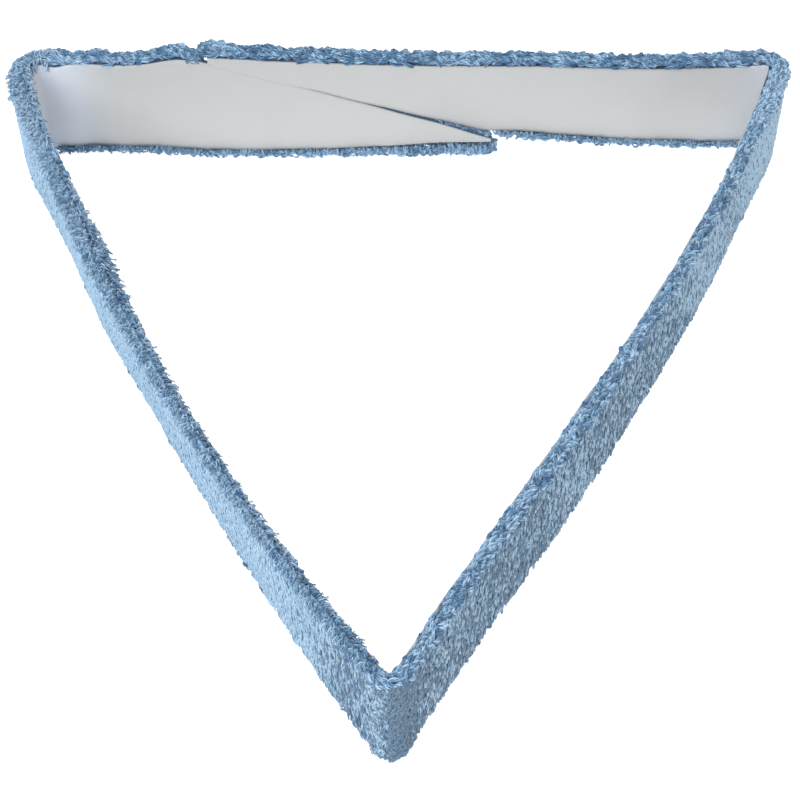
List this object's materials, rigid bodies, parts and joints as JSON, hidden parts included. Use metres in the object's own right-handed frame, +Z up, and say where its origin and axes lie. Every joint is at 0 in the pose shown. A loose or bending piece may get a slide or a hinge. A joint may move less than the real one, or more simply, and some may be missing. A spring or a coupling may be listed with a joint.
{
  "type": "triangular steam mop head edge band",
  "caption": "Folded triangular band of looped microfibre on a smooth white backing, ends butting on a diagonal seam; it wraps the rim of a triangular steam mop head and wipes edges.",
  "frame": {"origin": "on the floor, under the middle of the ring's bounding box", "axes": "+Z up along the strip's width, +Y towards the wide back with the seam, -Y towards the front corner, +X to the right seen from the front"},
  "size_m": [0.3104, 0.3042, 0.0506],
  "materials": {
    "white_backing": "smooth, satin, slightly translucent bonded film",
    "ground_cloth": "dull knitted base cloth",
    "looped_pile": "soft light blue looped microfibre"
  },
  "bodies": {
    "left_side": {"left_side_backing": "white_backing", "left_side_ground_cloth": "ground_cloth", "left_side_pile": "looped_pile", "left_fold_backing": "white_backing", "left_fold_ground_cloth": "ground_cloth", "left_fold_pile": "looped_pile", "front_fold_backing": "white_backing", "front_fold_ground_cloth": "ground_cloth", "front_fold_pile": "looped_pile"},
    "back_left_end": {"back_left_end_backing": "white_backing", "back_left_end_ground_cloth": "ground_cloth", "back_left_end_pile": "looped_pile"},
    "right_side": {"right_side_backing": "white_backing", "right_side_ground_cloth": "ground_cloth", "right_side_pile": "looped_pile", "right_fold_backing": "white_backing", "right_fold_ground_cloth": "ground_cloth", "right_fold_pile": "looped_pile"},
    "back_right_end": {"back_right_end_backing": "white_backing", "back_right_end_ground_cloth": "ground_cloth", "back_right_end_pile": "looped_pile"}
  },
  "joints": [
    {"name": "left_corner_fold", "type": "hinge", "parent": "left_side", "child": "back_left_end", "pos_m": [-0.14792, 0.14009, 0.024], "axis": [0, 0, 1], "range_deg": [0, 107], "deforming": ["left_fold_backing", "left_fold_ground_cloth", "left_fold_pile"]},
    {"name": "front_corner_fold", "type": "hinge", "parent": "left_side", "child": "right_side", "pos_m": [-0.0038, -0.14574, 0.024], "axis": [0, 0, -1], "range_deg": [0, 112], "deforming": ["front_fold_backing", "front_fold_ground_cloth", "front_fold_pile"]},
    {"name": "right_corner_fold", "type": "hinge", "parent": "right_side", "child": "back_right_end", "pos_m": [0.14868, 0.14219, 0.024], "axis": [0, 0, -1], "range_deg": [0, 108], "deforming": ["right_fold_backing", "right_fold_ground_cloth", "right_fold_pile"]}
  ]
}
